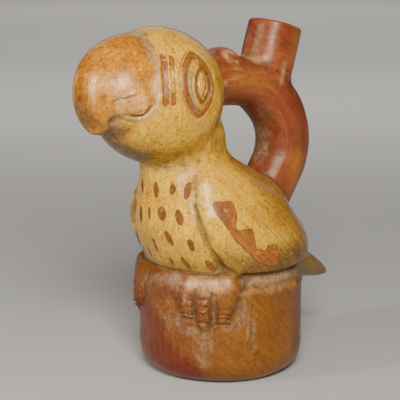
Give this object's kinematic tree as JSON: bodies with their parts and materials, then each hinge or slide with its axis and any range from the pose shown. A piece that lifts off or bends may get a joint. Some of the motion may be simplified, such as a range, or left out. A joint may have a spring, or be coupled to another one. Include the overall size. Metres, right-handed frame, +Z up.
{
  "type": "stirrup spout vessel",
  "caption": "Hollow fired-clay bottle shaped as a parrot perched on a round drum, with a thick looped tube handle from head to back that carries a short leaning spout.",
  "frame": {"origin": "middle of the drum's flat underside, on the surface the vessel stands on", "axes": "+Z up. The bird looks along -Y: beak and chest towards -Y, tail and the stirrup's rear arm towards +Y. The bird's left wing is on +X. The vessel is symmetric about the plane X = 0."},
  "size_m": [0.0946, 0.1745, 0.1909],
  "materials": {
    "fired_clay": "satin"
  },
  "bodies": {
    "root": {"vessel": "fired_clay"}
  },
  "joints": []
}
